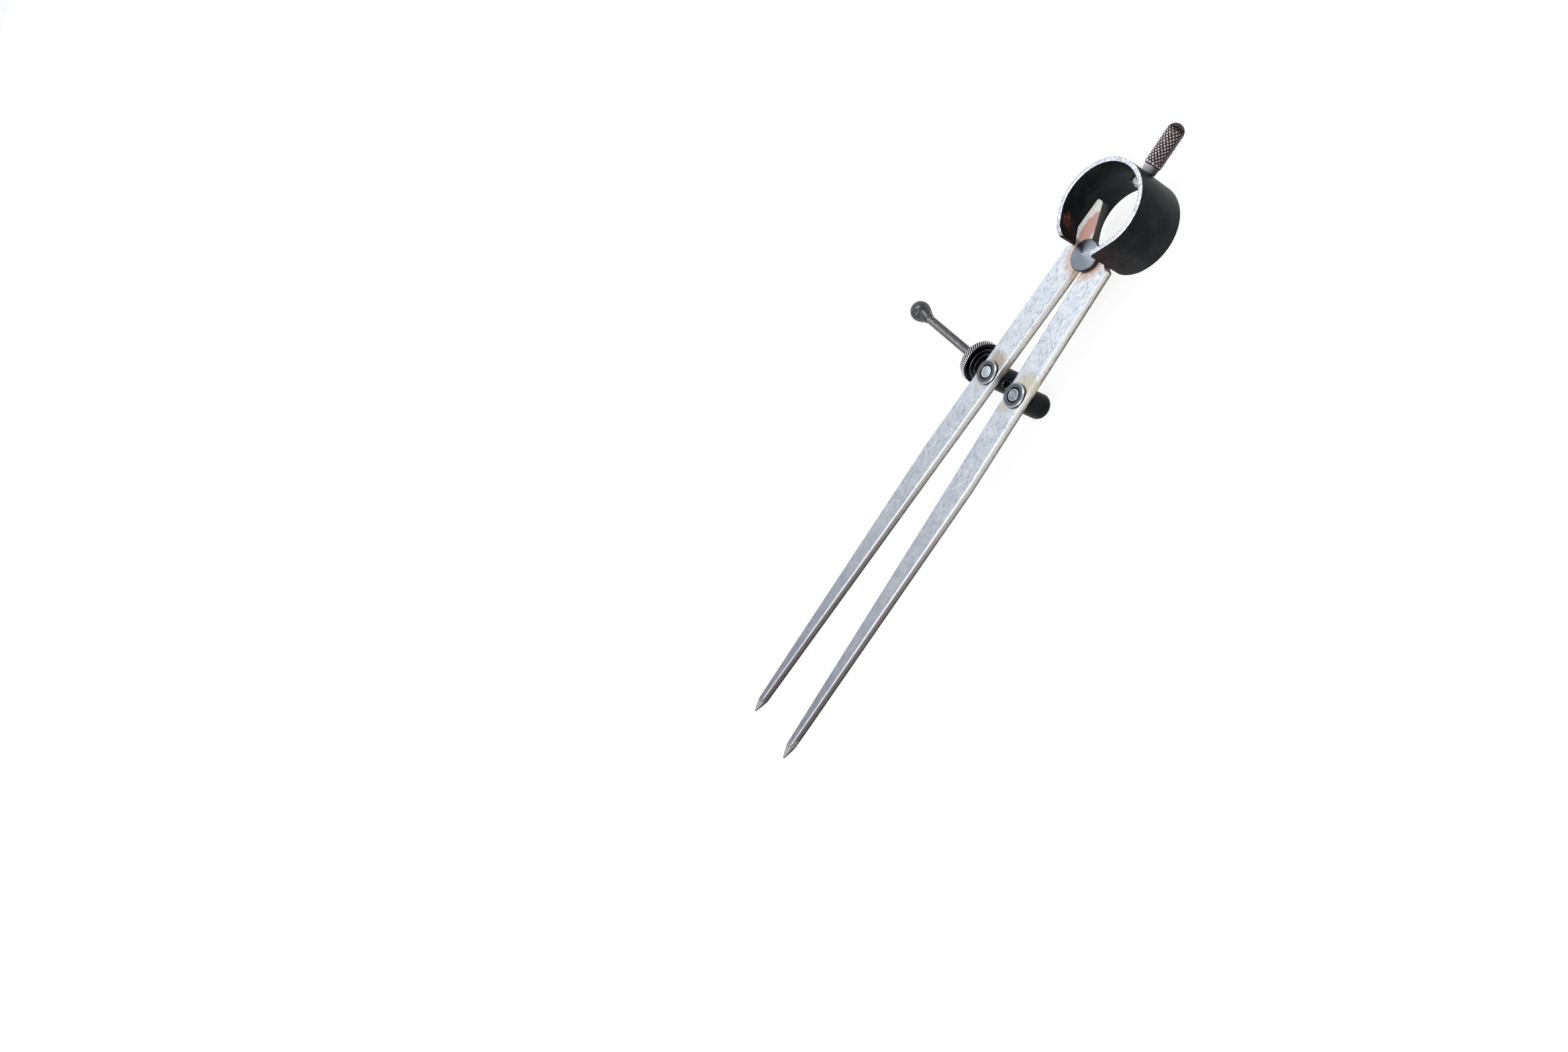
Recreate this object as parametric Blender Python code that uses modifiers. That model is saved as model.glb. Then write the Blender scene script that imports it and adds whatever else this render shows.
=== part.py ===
"""Spring dividers with flat legs, a bow spring, a fulcrum stud and an adjusting screw.

The tool lies on its back: +Y runs along it towards the handle, +Z is its front and +X its
right. The origin is the centre of the fulcrum stud's flat rear face, on the axis that both
legs turn about. Lengths are in millimetres here and are turned into metres by MM.
"""
import math

import bmesh
import bpy
from mathutils import Matrix, Vector

MM = 0.001

# Driving dimensions, in millimetres and degrees
LEG_REACH = 150.0          # fulcrum axis to the needle point
HALF_OPENING = 2.94        # each leg's angle to the tool's axis, as stored
LEG_THICKNESS = 2.5
LEG_WIDTH = 6.3
INNER_EDGE = 0.95          # fulcrum axis to the leg's straight inner edge
TAPER_START = 60.0         # distance below the fulcrum where the leg starts to narrow
TIP_WIDTH = 1.5
NEEDLE_LENGTH = 4.5        # ground to a point over this length
NEEDLE_END = 0.35          # width and thickness left at the very point

BOW_RADIUS = 11.17         # outer face of the bow spring
BOW_CENTRE = 10.74         # fulcrum axis to the bow's centre
BOW_THICKNESS = 1.1
BOW_WIDTH = 15.3
BOW_ARC_END = 123.0        # from the handle round to where each end runs straight
BOW_STRAIGHT = 5.1         # length of each straight end
BOW_CORNERS = {-1: (3.0, 3.0), 1: (1.0, 4.5)}     # each end's front and rear corner radii
BOW_STEPS = 24
BOW_END_STEPS = 9

FULCRUM_RADIUS = 3.9
FULCRUM_FLANGE = 0.8
FULCRUM_CONE = 1.1         # height of the turned cone on the front
FULCRUM_TIP_RADIUS = 0.4   # where the cone's blunt tip starts
FULCRUM_TIP = 0.15         # height of the blunt tip
WAIST_RADIUS = 1.9

FINGER_ANGLE = 28.0        # the finger's inner edge lies on a ray at this angle
FINGER_TOP = 11.4
FINGER_TIP_OUTER = 8.0
FINGER_TIP_ROUND = 0.35
SHOULDER_CHAMFER = 0.4     # the leg's outer corner under the bow's end
SHOULDER_TOP = -0.4

POST_DISTANCE = 35.3       # fulcrum to the posts, along the leg
POST_RADIUS = 3.18
POST_REAR = 8.87           # legs' middle plane to the post's rear end
POST_END_ROUND = 0.6
BLIND_BORE_END = 2.3       # the right post's cross hole stops this far past its axis
SPIGOT_RADIUS = 1.7
SPIGOT_ROUND = 0.25
WASHER_RADIUS = 3.2
WASHER_THICKNESS = 0.6
WASHER_BEVEL = 0.5
WASHER_RIM = 0.3           # height of the washer's straight rim

SCREW_RADIUS = 1.2
SCREW_DEPTH = 3.24         # legs' middle plane to the screw's axis, towards the rear
SCREW_END = 2.0            # the screw stops this far past the right post's axis
KNOB_X = -44.2
KNOB_RADIUS = 2.8
KNOB_BORE_END = 0.3        # the blind bore stops this far past the ball's middle
KNOB_NECK = 4.2            # ball's middle to the end of the flare
KNOB_FLARE = ((0.3, 4.2), (0.45, 3.2), (0.8, 2.3))     # (beyond the bore, from the middle)
NUT_FACE_X = -15.3         # the knurled disc's far face
NUT_RADIUS = 5.7
NUT_DISC = 2.1
NUT_COLLAR_RADIUS = 4.4
NUT_COLLAR = 0.6
NUT_COLLAR_END = 1.0       # where the collar's slope meets the hub
NUT_HUB_RADIUS = 3.0
NUT_NOSE_RADIUS = 1.9      # small enough to pass behind the leg as it swings
NUT_NOSE = 0.6
NUT_PLAY = 1.0             # left post to the nut's nose, with the thrust washer between
PIN_RADIUS = 0.45
PIN_SHORT = 0.15           # the pin's ends sit this far inside the post
PIN_GAP = 0.2

HANDLE_RADIUS = 2.15
HANDLE_END = 34.0          # fulcrum axis to the top of the handle's dome
HANDLE_NECK_RADIUS = 1.85
HANDLE_NECK = 1.6
HANDLE_FLARE = 0.6         # neck to the full knurled radius
STUD_RADIUS = 1.2          # the handle's threaded stud
STUD_PROUD = 2.6           # how far the stud stands out inside the bow
HANDLE_NUT_RADIUS = 2.6    # to the hexagon's corners
HANDLE_NUT_HEIGHT = 1.6

GAP = 0.3                  # between touching or sliding pieces
SIDE_GAP = 0.25            # leg to flange, and leg to post shoulder
WASHER_GAP = 0.1           # leg to the washer riveted over it
EDGE = 0.2                 # small chamfer on turned edges
THROUGH = 1.0              # how far a cutter stands out past what it cuts
ROUND_STEPS = 32
DOME_STEPS = 6             # quarter circle of a dome or ball
BALL_STEPS = 8             # the part of the knob's ball that is left by its flare

# Places worked out from the above
LEG_MID_Z = FULCRUM_FLANGE + SIDE_GAP + LEG_THICKNESS / 2
LEG_FRONT_Z = LEG_MID_Z + LEG_THICKNESS / 2
LEG_REAR_Z = LEG_MID_Z - LEG_THICKNESS / 2
POST_U = INNER_EDGE + LEG_WIDTH / 2
OPEN = math.radians(HALF_OPENING)
POST_X = POST_DISTANCE * math.sin(OPEN) + POST_U * math.cos(OPEN)
POST_Y = -POST_DISTANCE * math.cos(OPEN) + POST_U * math.sin(OPEN)
SCREW_Z = LEG_MID_Z - SCREW_DEPTH
BOW_TOP = BOW_CENTRE + BOW_RADIUS
NOTCH_RADIUS = WAIST_RADIUS + GAP
WASHER_REAR_Z = LEG_FRONT_Z + WASHER_GAP
WASHER_FRONT_Z = WASHER_REAR_Z + WASHER_THICKNESS

# Colours and finishes: (red, green, blue), roughness, metallic
FINISHES = {
    "leg_steel": ((0.62, 0.64, 0.67), 0.42, 0.9),
    "spring_steel": ((0.022, 0.026, 0.028), 0.38, 0.6),
    "stud_steel": ((0.16, 0.17, 0.19), 0.35, 0.9),
    "post_steel": ((0.02, 0.026, 0.03), 0.4, 0.6),
    "washer_steel": ((0.2, 0.21, 0.24), 0.35, 0.9),
    "screw_steel": ((0.12, 0.115, 0.12), 0.38, 0.9),
    "nut_steel": ((0.05, 0.05, 0.055), 0.35, 0.85),
    "handle_steel": ((0.2, 0.16, 0.16), 0.4, 0.85),
}


def clear_scene():
    for thing in list(bpy.data.objects):
        bpy.data.objects.remove(thing, do_unlink=True)


def make_collection(name):
    collection = bpy.data.collections.new(name)
    bpy.context.scene.collection.children.link(collection)
    return collection


def make_material(name, finish):
    colour, roughness, metallic = FINISHES[finish]
    material = bpy.data.materials.new(name)
    material.use_nodes = True
    shader = material.node_tree.nodes["Principled BSDF"]
    shader.inputs["Base Color"].default_value = (*colour, 1.0)
    shader.inputs["Roughness"].default_value = roughness
    shader.inputs["Metallic"].default_value = metallic
    material.diffuse_color = (*colour, 1.0)
    return material


def link_piece(name, mesh, finish, matrix=None):
    """Put a mesh in the scene as one named sub-part with its own material."""
    piece = bpy.data.objects.new(name, mesh)
    if matrix is not None:
        piece.matrix_world = matrix
    mesh.materials.clear()
    mesh.materials.append(make_material(name + "_material", finish))
    DIVIDERS.objects.link(piece)
    return piece


def link_cutter(name, mesh, matrix=None):
    cutter = bpy.data.objects.new(name, mesh)
    if matrix is not None:
        cutter.matrix_world = matrix
    cutter.hide_render = True
    cutter.display_type = "WIRE"
    CUTTERS.objects.link(cutter)
    return cutter


def cut(piece, cutter):
    modifier = piece.modifiers.new(cutter.name, "BOOLEAN")
    modifier.operation = "DIFFERENCE"
    modifier.solver = "EXACT"
    modifier.object = cutter


def smooth(mesh):
    mesh.shade_smooth()
    mesh.set_sharp_from_angle(angle=math.radians(32))


def placed(x, y, z, turn=None):
    """A matrix that puts a shape at x, y, z in millimetres, turned first."""
    matrix = Matrix.Translation(Vector((x, y, z)) * MM)
    return matrix @ turn if turn is not None else matrix


ALONG_X = Matrix.Rotation(math.radians(90), 4, "Y")      # +Z becomes +X
ALONG_Y = Matrix.Rotation(math.radians(-90), 4, "X")     # +Z becomes +Y


def rod_mesh(name, radius, low, high, steps=ROUND_STEPS):
    """A plain cylinder about Z from low to high."""
    shape = bmesh.new()
    middle = Matrix.Translation((0, 0, (low + high) / 2 * MM))
    bmesh.ops.create_cone(
        shape, cap_ends=True, segments=steps, radius1=radius * MM, radius2=radius * MM,
        depth=(high - low) * MM, matrix=middle)
    mesh = bpy.data.meshes.new(name)
    shape.to_mesh(mesh)
    shape.free()
    smooth(mesh)
    return mesh


def turned_mesh(name, profile, steps=ROUND_STEPS):
    """Spin a profile of (radius, height) points, top to bottom, about Z."""
    line = bpy.data.meshes.new(name + "_profile")
    points = [(radius * MM, 0.0, height * MM) for radius, height in profile]
    edges = [(k, k + 1) for k in range(len(points) - 1)]
    if profile[0][0] > 0 and profile[-1][0] > 0:
        edges.append((len(points) - 1, 0))
    line.from_pydata(points, edges, [])
    holder = bpy.data.objects.new(name + "_profile", line)
    bpy.context.scene.collection.objects.link(holder)
    screw = holder.modifiers.new("spin", "SCREW")
    screw.steps = steps
    screw.render_steps = steps
    screw.use_merge_vertices = True
    screw.merge_threshold = 0.000001
    screw.use_normal_calculate = True
    depsgraph = bpy.context.evaluated_depsgraph_get()
    mesh = bpy.data.meshes.new_from_object(holder.evaluated_get(depsgraph))
    mesh.name = name
    bpy.data.objects.remove(holder, do_unlink=True)
    outward(mesh)
    smooth(mesh)
    return mesh


def outward(mesh):
    """Weld a mesh and make its faces point out."""
    shape = bmesh.new()
    shape.from_mesh(mesh)
    bmesh.ops.remove_doubles(shape, verts=shape.verts, dist=0.000001)
    bmesh.ops.recalc_face_normals(shape, faces=shape.faces)
    shape.to_mesh(mesh)
    shape.free()


def plate_mesh(name, outline, thickness):
    """A flat plate from a closed outline in the XY plane, centred on Z."""
    curve = bpy.data.curves.new(name, "CURVE")
    curve.dimensions = "2D"
    curve.fill_mode = "BOTH"
    curve.extrude = thickness / 2 * MM
    spline = curve.splines.new("POLY")
    spline.points.add(len(outline) - 1)
    for point, (x, y) in zip(spline.points, outline):
        point.co = (x * MM, y * MM, 0.0, 1.0)
    spline.use_cyclic_u = True
    holder = bpy.data.objects.new(name + "_outline", curve)
    bpy.context.scene.collection.objects.link(holder)
    depsgraph = bpy.context.evaluated_depsgraph_get()
    mesh = bpy.data.meshes.new_from_object(holder.evaluated_get(depsgraph))
    mesh.name = name
    bpy.data.objects.remove(holder, do_unlink=True)
    outward(mesh)
    return mesh


def arc(centre_x, centre_y, radius, start, end, count):
    """Points on an arc, angles in degrees anticlockwise from +X."""
    angles = [math.radians(start + (end - start) * k / count) for k in range(count + 1)]
    return [(centre_x + radius * math.cos(a), centre_y + radius * math.sin(a)) for a in angles]


def bow_point(radius, angle, straight=0.0):
    """A point of the bow, angle in degrees from the handle towards +X, then straight on."""
    turn = math.radians(angle)
    x = radius * math.sin(turn) + straight * math.cos(turn)
    y = BOW_CENTRE + radius * math.cos(turn) - straight * math.sin(turn)
    return x, y


def bow_stations():
    """(side, angle, straight) from the left end over the top to the right end."""
    quarters = [math.radians(90 * k / BOW_END_STEPS) for k in range(1, BOW_END_STEPS + 1)]
    half = [(BOW_ARC_END * k / BOW_STEPS, 0.0) for k in range(BOW_STEPS + 1)]
    half += [(BOW_ARC_END, BOW_STRAIGHT * math.sin(quarter)) for quarter in quarters]
    left = [(-1, *station) for station in reversed(half[1:])]
    return left + [(1, *station) for station in half]


def corner_pull(radius, distance):
    """How far a rounded corner draws the bow's edge in, at a distance from the bow's end."""
    short = max(0.0, radius - distance)
    return radius - math.sqrt(radius ** 2 - short ** 2)


def to_leg(x, y):
    """A point of the stored tool in the right leg's own axes, along which it is straight."""
    return (x * math.cos(OPEN) + y * math.sin(OPEN), -x * math.sin(OPEN) + y * math.cos(OPEN))


def leg_outline():
    """The right leg's outline in its own axes: +X is outwards and -Y is towards the point."""
    outer = INNER_EDGE + LEG_WIDTH
    wall_radius = BOW_RADIUS - BOW_THICKNESS - GAP
    wall_low = to_leg(*bow_point(wall_radius, BOW_ARC_END, BOW_STRAIGHT + GAP))
    wall_high = to_leg(*bow_point(wall_radius, BOW_ARC_END))
    rise = (FINGER_TIP_OUTER - wall_low[0]) / (wall_high[0] - wall_low[0])
    kink = (FINGER_TIP_OUTER, wall_low[1] + rise * (wall_high[1] - wall_low[1]))
    notch_floor = to_leg(*bow_point(BOW_RADIUS + GAP, BOW_ARC_END, BOW_STRAIGHT + GAP))
    low = -math.degrees(math.acos(INNER_EDGE / NOTCH_RADIUS))
    fulcrum_notch = arc(0, 0, NOTCH_RADIUS, low, 90 - FINGER_ANGLE, 12)
    finger_inner = FINGER_TOP * math.tan(math.radians(FINGER_ANGLE))
    needle = -LEG_REACH + NEEDLE_LENGTH
    return [
        (INNER_EDGE, -TAPER_START),
        *fulcrum_notch,
        (finger_inner, FINGER_TOP),
        (finger_inner + FINGER_TIP_ROUND, FINGER_TOP + FINGER_TIP_ROUND),
        (FINGER_TIP_OUTER - FINGER_TIP_ROUND, FINGER_TOP + FINGER_TIP_ROUND),
        (FINGER_TIP_OUTER, FINGER_TOP),
        kink,
        wall_low,
        notch_floor,
        (outer - SHOULDER_CHAMFER, SHOULDER_TOP),
        (outer, SHOULDER_TOP - SHOULDER_CHAMFER),
        (outer, -TAPER_START),
        (INNER_EDGE + TIP_WIDTH, needle),
        (INNER_EDGE + TIP_WIDTH / 2 + NEEDLE_END / 2, -LEG_REACH),
        (INNER_EDGE + TIP_WIDTH / 2 - NEEDLE_END / 2, -LEG_REACH),
        (INNER_EDGE, needle),
    ]


def grind_point(mesh):
    """Thin the leg's last stretch to a needle point."""
    for vertex in mesh.vertices:
        below = -vertex.co.y / MM - (LEG_REACH - NEEDLE_LENGTH)
        if below > 0.01:
            vertex.co.z *= NEEDLE_END / LEG_THICKNESS


def make_leg(name, side):
    outline = [(side * x, y) for x, y in leg_outline()]
    if side < 0:
        outline.reverse()
    mesh = plate_mesh(name, outline, LEG_THICKNESS)
    grind_point(mesh)
    matrix = placed(0, 0, LEG_MID_Z, Matrix.Rotation(side * OPEN, 4, "Z"))
    leg = link_piece(name, mesh, "leg_steel", matrix)
    hole = rod_mesh(name + "_hole", SPIGOT_RADIUS + GAP, -LEG_THICKNESS, LEG_THICKNESS)
    cut(leg, link_cutter(name + "_hole", hole, placed(side * POST_X, POST_Y, LEG_MID_Z)))


def make_bow_spring():
    """A band bent round to two straight ends with rounded corners."""
    shape = bmesh.new()
    rings = []
    for side, angle, straight in bow_stations():
        to_end = BOW_STRAIGHT - straight if angle == BOW_ARC_END else BOW_STRAIGHT
        front, rear = (BOW_WIDTH / 2 - corner_pull(r, to_end) for r in BOW_CORNERS[side])
        ring = []
        for radius, z in ((BOW_RADIUS, front), (BOW_RADIUS - BOW_THICKNESS, front),
                          (BOW_RADIUS - BOW_THICKNESS, -rear), (BOW_RADIUS, -rear)):
            x, y = bow_point(radius, angle, straight)
            ring.append(shape.verts.new((side * x * MM, y * MM, z * MM)))
        rings.append(ring)
    for before, after in zip(rings, rings[1:]):
        for k in range(4):
            shape.faces.new((before[k - 1], before[k], after[k], after[k - 1]))
    shape.faces.new(rings[0])
    shape.faces.new(rings[-1][::-1])
    mesh = bpy.data.meshes.new("bow_spring")
    shape.to_mesh(mesh)
    shape.free()
    outward(mesh)
    smooth(mesh)
    bow = link_piece("bow_spring", mesh, "spring_steel", placed(0, 0, LEG_MID_Z))
    low = BOW_TOP - BOW_THICKNESS - THROUGH
    hole = rod_mesh("bow_hole", STUD_RADIUS + GAP, low, BOW_TOP + THROUGH)
    cut(bow, link_cutter("bow_hole", hole, placed(0, 0, LEG_MID_Z, ALONG_Y)))


def make_handle():
    shoulder = BOW_TOP + GAP
    dome_base = HANDLE_END - HANDLE_RADIUS
    stud_end = BOW_TOP - BOW_THICKNESS - STUD_PROUD
    dome = [(HANDLE_RADIUS * math.sin(a), dome_base + HANDLE_RADIUS * math.cos(a))
            for a in (math.radians(90 * k / DOME_STEPS) for k in range(DOME_STEPS + 1))]
    profile = dome + [
        (HANDLE_RADIUS, shoulder + HANDLE_NECK + HANDLE_FLARE),
        (HANDLE_NECK_RADIUS, shoulder + HANDLE_NECK),
        (HANDLE_NECK_RADIUS, shoulder),
        (STUD_RADIUS, shoulder),
        (STUD_RADIUS, stud_end + EDGE),
        (STUD_RADIUS - EDGE, stud_end),
        (0.0, stud_end),
    ]
    mesh = turned_mesh("handle", profile)
    link_piece("handle", mesh, "handle_steel", placed(0, 0, LEG_MID_Z, ALONG_Y))


def make_handle_nut():
    """A small hexagon nut that holds the handle from inside the bow."""
    inner_radius = BOW_RADIUS - BOW_THICKNESS
    top = BOW_CENTRE + math.sqrt(inner_radius ** 2 - HANDLE_NUT_RADIUS ** 2) - GAP
    low = top - HANDLE_NUT_HEIGHT
    mesh = rod_mesh("handle_nut", HANDLE_NUT_RADIUS, low, top, steps=6)
    nut = link_piece("handle_nut", mesh, "screw_steel", placed(0, 0, LEG_MID_Z, ALONG_Y))
    hole = rod_mesh("handle_nut_hole", STUD_RADIUS + GAP, low - THROUGH, top + THROUGH)
    cut(nut, link_cutter("handle_nut_hole", hole, placed(0, 0, LEG_MID_Z, ALONG_Y)))


def make_fulcrum_stud():
    front = LEG_FRONT_Z + SIDE_GAP
    rim = front + FULCRUM_FLANGE
    profile = [
        (0.0, rim + FULCRUM_CONE),
        (FULCRUM_TIP_RADIUS, rim + FULCRUM_CONE - FULCRUM_TIP),
        (FULCRUM_RADIUS - EDGE, rim),
        (FULCRUM_RADIUS, rim - EDGE),
        (FULCRUM_RADIUS, front),
        (WAIST_RADIUS, front),
        (WAIST_RADIUS, FULCRUM_FLANGE),
        (FULCRUM_RADIUS, FULCRUM_FLANGE),
        (FULCRUM_RADIUS, EDGE),
        (FULCRUM_RADIUS - EDGE, 0.0),
        (0.0, 0.0),
    ]
    link_piece("fulcrum_stud", turned_mesh("fulcrum_stud", profile), "stud_steel")


def make_post(name, side, hole_end):
    """A swivel post behind a leg, with its spigot through the leg and a cross hole."""
    rear = LEG_MID_Z - POST_REAR
    shoulder = LEG_REAR_Z - SIDE_GAP
    front = WASHER_FRONT_Z + WASHER_GAP
    profile = [
        (0.0, front),
        (SPIGOT_RADIUS - SPIGOT_ROUND, front),
        (SPIGOT_RADIUS, front - SPIGOT_ROUND),
        (SPIGOT_RADIUS, shoulder),
        (POST_RADIUS - EDGE, shoulder),
        (POST_RADIUS, shoulder - EDGE),
        (POST_RADIUS, rear + POST_END_ROUND),
        (POST_RADIUS - EDGE, rear + EDGE),
        (POST_RADIUS - POST_END_ROUND, rear),
        (0.0, rear),
    ]
    mesh = turned_mesh(name, profile)
    post = link_piece(name, mesh, "post_steel", placed(side * POST_X, POST_Y, 0))
    bore = SCREW_RADIUS + GAP
    start = -POST_RADIUS - THROUGH
    hole = rod_mesh(name + "_cross_hole", bore, start, hole_end, steps=24)
    place = placed(side * POST_X, POST_Y, SCREW_Z, ALONG_X)
    cut(post, link_cutter(name + "_cross_hole", hole, place))
    return post


def make_post_washer(name, side):
    profile = [
        (SPIGOT_RADIUS + GAP, WASHER_FRONT_Z),
        (WASHER_RADIUS - WASHER_BEVEL, WASHER_FRONT_Z),
        (WASHER_RADIUS, WASHER_REAR_Z + WASHER_RIM),
        (WASHER_RADIUS, WASHER_REAR_Z),
        (SPIGOT_RADIUS + GAP, WASHER_REAR_Z),
    ]
    mesh = turned_mesh(name, profile)
    link_piece(name, mesh, "washer_steel", placed(side * POST_X, POST_Y, 0))


def make_pin(post, screw):
    """The pin across the right post that holds the screw, and the holes it stands in."""
    half = POST_RADIUS - PIN_SHORT
    reach = POST_RADIUS + THROUGH
    place = placed(POST_X, POST_Y, SCREW_Z, ALONG_Y)
    mesh = rod_mesh("screw_pin", PIN_RADIUS, -half, half, steps=12)
    link_piece("screw_pin", mesh, "screw_steel", place)
    hole = rod_mesh("pin_hole", PIN_RADIUS + PIN_GAP, -reach, reach, steps=12)
    cutter = link_cutter("pin_hole", hole, place)
    cut(post, cutter)
    cut(screw, cutter)


def make_adjusting_screw():
    left = KNOB_X + KNOB_BORE_END + GAP
    right = POST_X + SCREW_END
    mesh = rod_mesh("adjusting_screw", SCREW_RADIUS, left, right, steps=24)
    return link_piece("adjusting_screw", mesh, "screw_steel", placed(0, POST_Y, SCREW_Z, ALONG_X))


def make_screw_knob():
    """A ball on the free end of the screw, flared to the thread, with a blind bore."""
    bore = SCREW_RADIUS + GAP
    ball = [(KNOB_RADIUS * math.sin(a), KNOB_X - KNOB_RADIUS * math.cos(a))
            for a in (math.radians(90 * k / DOME_STEPS) for k in range(BALL_STEPS, 0, -1))]
    profile = [
        (0.0, KNOB_X + KNOB_BORE_END),
        (bore, KNOB_X + KNOB_BORE_END),
        (bore, KNOB_X + KNOB_NECK),
        *((bore + beyond, KNOB_X + along) for beyond, along in KNOB_FLARE),
        *ball,
        (0.0, KNOB_X - KNOB_RADIUS),
    ]
    mesh = turned_mesh("screw_knob", profile)
    link_piece("screw_knob", mesh, "screw_steel", placed(0, POST_Y, SCREW_Z, ALONG_X))


def make_adjusting_nut():
    """A thin knurled disc on a stepped hub, whose small nose bears on the thrust washer."""
    bore = SCREW_RADIUS + GAP
    nose_end = -POST_X - POST_RADIUS - NUT_PLAY
    disc_face = NUT_FACE_X + NUT_DISC
    profile = [
        (bore, nose_end),
        (NUT_NOSE_RADIUS, nose_end),
        (NUT_NOSE_RADIUS, nose_end - NUT_NOSE),
        (NUT_HUB_RADIUS, nose_end - NUT_NOSE),
        (NUT_HUB_RADIUS, disc_face + NUT_COLLAR_END),
        (NUT_COLLAR_RADIUS, disc_face + NUT_COLLAR),
        (NUT_COLLAR_RADIUS, disc_face),
        (NUT_RADIUS, disc_face),
        (NUT_RADIUS, NUT_FACE_X),
        (bore, NUT_FACE_X),
    ]
    place = placed(0, POST_Y, SCREW_Z, ALONG_X)
    link_piece("adjusting_nut", turned_mesh("adjusting_nut", profile), "nut_steel", place)


def make_thrust_washer():
    bore = SCREW_RADIUS + GAP
    left = -POST_X - POST_RADIUS - NUT_PLAY + EDGE
    right = -POST_X - POST_RADIUS - EDGE
    profile = [(bore, right), (NUT_NOSE_RADIUS, right), (NUT_NOSE_RADIUS, left), (bore, left)]
    mesh = turned_mesh("thrust_washer", profile)
    link_piece("thrust_washer", mesh, "washer_steel", placed(0, POST_Y, SCREW_Z, ALONG_X))


clear_scene()
DIVIDERS = make_collection("spring_dividers")
CUTTERS = make_collection("cutters")
make_bow_spring()
make_handle()
make_handle_nut()
make_fulcrum_stud()
for label, side in (("right", 1), ("left", -1)):
    make_leg(label + "_leg", side)
    make_post_washer(label + "_post_washer", side)
right_post = make_post("right_post", 1, BLIND_BORE_END)
make_post("left_post", -1, POST_RADIUS + THROUGH)
adjusting_screw = make_adjusting_screw()
make_pin(right_post, adjusting_screw)
make_screw_knob()
make_adjusting_nut()
make_thrust_washer()
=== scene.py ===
"""The looks of a pair of spring dividers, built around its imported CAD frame.

Lengths are in millimetres here and are turned into metres by MM. The tool lies on its back:
+Y runs along it towards the handle, +Z is its front and +X its right. Every piece is built in
place, so its object coordinates are the row's own.
"""
import math

import bmesh
import bpy
from mathutils import Matrix, Vector


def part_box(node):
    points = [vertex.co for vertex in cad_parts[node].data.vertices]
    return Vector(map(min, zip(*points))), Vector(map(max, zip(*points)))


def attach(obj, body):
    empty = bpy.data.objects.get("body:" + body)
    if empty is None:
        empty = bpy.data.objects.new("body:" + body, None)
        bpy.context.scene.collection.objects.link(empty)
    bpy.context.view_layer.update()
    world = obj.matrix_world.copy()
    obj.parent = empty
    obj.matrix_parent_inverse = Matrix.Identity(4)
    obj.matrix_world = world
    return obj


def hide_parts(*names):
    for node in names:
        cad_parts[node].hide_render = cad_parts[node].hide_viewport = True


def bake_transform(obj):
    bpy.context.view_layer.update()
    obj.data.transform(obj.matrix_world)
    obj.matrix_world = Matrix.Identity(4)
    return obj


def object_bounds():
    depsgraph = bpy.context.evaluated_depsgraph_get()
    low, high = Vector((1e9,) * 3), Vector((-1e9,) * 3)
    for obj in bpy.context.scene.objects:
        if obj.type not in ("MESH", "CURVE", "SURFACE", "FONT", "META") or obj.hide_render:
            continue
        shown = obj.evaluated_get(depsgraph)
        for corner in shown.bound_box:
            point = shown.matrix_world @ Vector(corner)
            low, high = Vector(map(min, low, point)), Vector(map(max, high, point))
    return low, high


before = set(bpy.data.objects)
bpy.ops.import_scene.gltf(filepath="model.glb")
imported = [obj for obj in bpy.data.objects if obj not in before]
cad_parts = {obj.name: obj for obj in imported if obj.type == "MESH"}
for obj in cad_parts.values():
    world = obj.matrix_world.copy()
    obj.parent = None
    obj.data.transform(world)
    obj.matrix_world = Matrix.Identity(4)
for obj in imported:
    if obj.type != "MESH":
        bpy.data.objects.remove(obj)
cad_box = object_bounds()

MM = 0.001


def box(node):
    """A CAD node's lowest and highest corners, in millimetres."""
    low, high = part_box(node)
    return low / MM, high / MM


# ---------------------------------------------------------------- places from the frame
bow_low, bow_high = box("bow_spring")
leg_low, leg_high = box("right_leg")
stud_low, stud_high = box("fulcrum_stud")
post_low, post_high = box("right_post")
washer_low, washer_high = box("right_post_washer")
screw_low, screw_high = box("adjusting_screw")
knob_low, knob_high = box("screw_knob")
nut_low, nut_high = box("adjusting_nut")
thrust_low, thrust_high = box("thrust_washer")
pin_low, pin_high = box("screw_pin")
handle_low, handle_high = box("handle")
handle_nut_low, handle_nut_high = box("handle_nut")

MID_Z = (leg_low.z + leg_high.z) / 2
LEG_THICKNESS = leg_high.z - leg_low.z
FRONT_Z = MID_Z + LEG_THICKNESS / 2
BOW_RADIUS = bow_high.x
BOW_TOP = bow_high.y
BOW_CENTRE = BOW_TOP - BOW_RADIUS
BOW_WIDTH = bow_high.z - bow_low.z
FULCRUM_RADIUS = stud_high.x
POST_X = (post_low.x + post_high.x) / 2
POST_Y = (post_low.y + post_high.y) / 2
POST_RADIUS = (post_high.x - post_low.x) / 2
WASHER_RADIUS = (washer_high.x - washer_low.x) / 2
SCREW_Z = (screw_low.z + screw_high.z) / 2
SCREW_RADIUS = (screw_high.z - screw_low.z) / 2
KNOB_RADIUS = (knob_high.z - knob_low.z) / 2
NUT_RADIUS = (nut_high.z - nut_low.z) / 2
HANDLE_RADIUS = handle_high.x

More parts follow.
